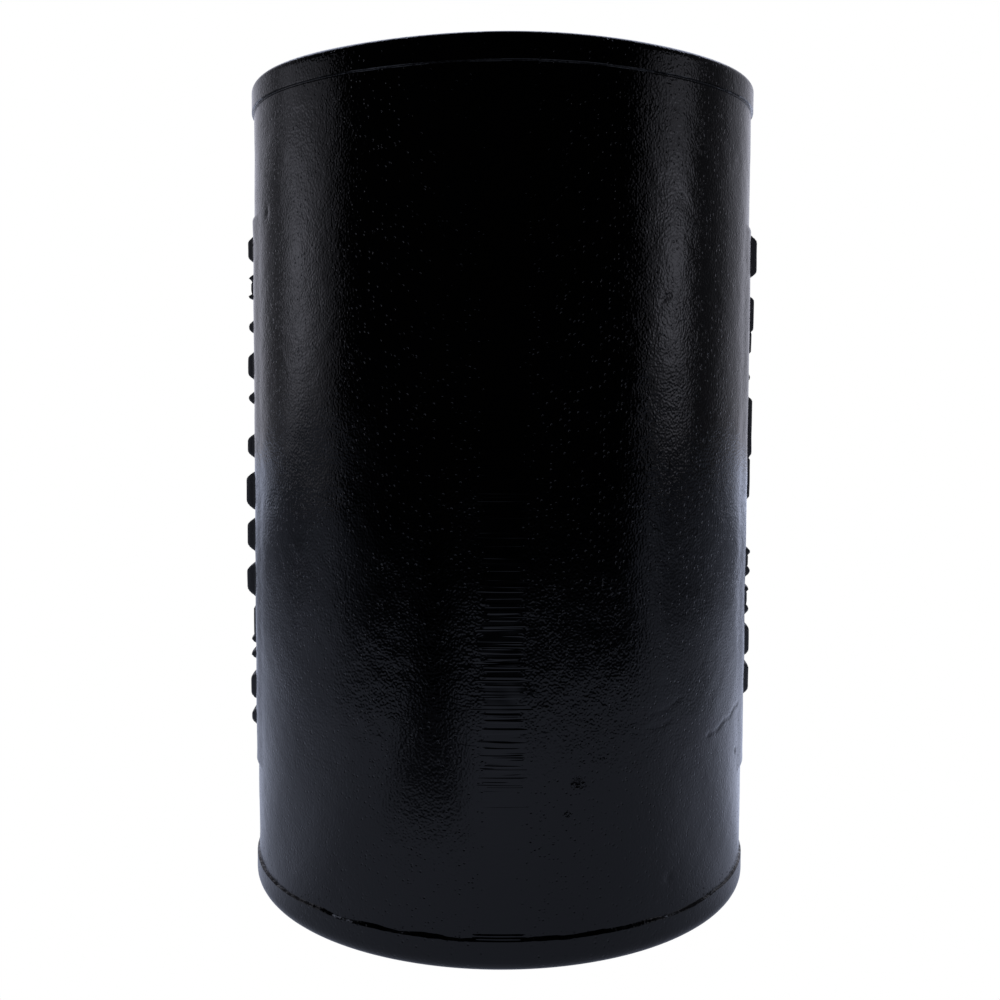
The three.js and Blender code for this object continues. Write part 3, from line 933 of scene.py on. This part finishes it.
def floor_brightness(s):
    """How bright the barrel sees each place of the floor's glow, a painted pool of light: less towards the
    front, more at the back, with painted lamp reflections and a painted shadow line.
    """
    x, y, _ = s.parts()
    distance = s.add("ShaderNodeVectorMath", {0: s.place}, operation="LENGTH").outputs["Value"]
    frontal = s.maths("DIVIDE", s.times(y, -1.0), distance)
    sideways = s.maths("DIVIDE", x, distance)
    beside = s.levels(distance, FLOOR_BESIDE)
    in_front = s.levels(distance, FLOOR_IN_FRONT)
    level = s.between(s.band(frontal, 0.2, 0.65), beside, in_front)

    behind = s.times(s.band(frontal, 0.1, -0.5), s.band(sideways, -1.0, 1.0, 0.45, 0.9))
    level = s.times(level, s.plus(1.0, behind))
    level = s.plus(level, s.band(y, 0.5, 1.5, 0.0, 0.4))
    right_front = s.times(s.times(sideways, frontal), 0.15)
    level = s.times(level, s.minus(1.0, right_front))
    brink = s.times(s.band(frontal, -0.66, -0.95), s.band(sideways, -0.5, 0.5, 0.35, 0.9))
    level = s.plus(level, brink)
    # Painted reflections of the side lamps, added to the floor's glow as soft streaks.
    for centre, half, low_side, high_side, strength in PAINTED_LAMP_STREAKS:
        off = s.absolute(s.minus(frontal, centre))
        lamp_streak = s.times(s.band(off, 1.5 * half, 0.5 * half), s.band(sideways, low_side, high_side))
        gain = s.times(lamp_streak, s.band(distance, 0.42, 0.55, 0.0, strength))
        level = s.plus(level, gain)
    # The floor's glow is dimmed along the painted shadow line.
    return s.times(level, s.minus(1.0, painted_shadow_line(s, x, y, distance)))


def add_floor():
    """A pale floor: white to the camera, and with its own soft brightness to all that it lights."""
    half = FLOOR_HALF
    corners = [(-half, -half, 0), (half, -half, 0), (half, half, 0), (-half, half, 0)]
    s = Shader("floor")
    level = floor_brightness(s)
    mirrored = s.add("ShaderNodeEmission", {"Color": (*SKY_LIGHT, 1), "Strength": level}).outputs[0]
    white = s.add("ShaderNodeEmission", {"Color": (1, 1, 1, 1), "Strength": 1.0}).outputs[0]
    seen = s.add("ShaderNodeLightPath").outputs["Is Camera Ray"]
    s.join(s.mix_shaders(seen, mirrored, white), s.tree.nodes["Material Output"].inputs["Surface"])
    s.tree.nodes.remove(s.surface)
    mesh_object("floor", corners, [[0, 1, 2, 3]], s.material)


def add_world():
    """A dark room in front and a bright cool one behind, white where the camera looks straight at it."""
    world = bpy.data.worlds.new("studio")
    bpy.context.scene.world = world
    world.use_nodes = True
    s = Nodes(world.node_tree, "Generated")
    x, y, _ = s.parts()
    behind = s.plus(y, s.times(x, 0.16))
    dimmer_right = s.minus(1.0, s.times(x, 0.42))
    room = s.tree.nodes["Background"]
    s.join((*COOL_LIGHT, 1), room.inputs["Color"])
    s.join(s.times(s.levels(behind, ROOM), dimmer_right), room.inputs["Strength"])
    backdrop = s.add("ShaderNodeBackground", {"Color": (1, 1, 1, 1)}).outputs[0]
    seen = s.add("ShaderNodeLightPath").outputs["Is Camera Ray"]
    s.join(s.mix_shaders(seen, room.outputs[0], backdrop), s.tree.nodes["World Output"].inputs["Surface"])


def add_lamp(name, place, target, width, height, radiance, colour=COOL_LIGHT):
    """A soft lamp whose face has this radiance, where 1 reads as white."""
    data = bpy.data.lights.new(name, "AREA")
    data.shape = "RECTANGLE"
    data.size = width
    data.size_y = height
    data.energy = radiance * math.pi * width * height
    data.color = colour
    lamp = bpy.data.objects.new(name, data)
    aim = np.array(target) - np.array(place)
    turn = math.atan2(aim[1], aim[0]) - math.pi / 2
    tilt = math.atan2(aim[2], math.hypot(aim[0], aim[1]))
    swing = Matrix.Rotation(turn, 4, "Z")
    lean = Matrix.Rotation(math.pi / 2 + tilt, 4, "X")
    lamp.matrix_world = Matrix.Translation(place) @ swing @ lean
    bpy.context.collection.objects.link(lamp)


def add_lights():
    """Lights each side by a stack of ever smaller lamps that together fade towards their edges.

    One more lamp stands at the back left, and one hangs overhead.
    """
    for number, (x, y, width, bottom, top, radiance) in enumerate(SIDE_LAMPS):
        height = top - bottom
        add_lamp(f"side_{number}", (x, y, bottom + height / 2), SIDE_TARGET, width, height, radiance)
    add_lamp(
        "overhead", (0, 0.8, 1.2), target=(0, 0.75, 0), width=1.8, height=1.2, radiance=1.3,
        colour=SKY_LIGHT,
    )


def add_camera():
    data = bpy.data.cameras.new("camera")
    data.sensor_width = 36
    data.lens = CAMERA_LENS_MM
    data.shift_x, data.shift_y = CAMERA_SHIFT
    data.clip_start = 0.01
    camera = bpy.data.objects.new("camera", data)
    level = Matrix.Rotation(math.radians(90 - CAMERA_PITCH_DEG), 4, "X")
    roll = Matrix.Rotation(CAMERA_ROLL, 4, "Z")
    camera.matrix_world = Matrix.Translation((0, -CAMERA_DISTANCE, CAMERA_HEIGHT)) @ level @ roll
    bpy.context.collection.objects.link(camera)
    bpy.context.scene.camera = camera


add_camera()
build_barrel()
add_floor()
add_world()
add_lights()
bpy.context.scene.view_settings.view_transform = "Standard"
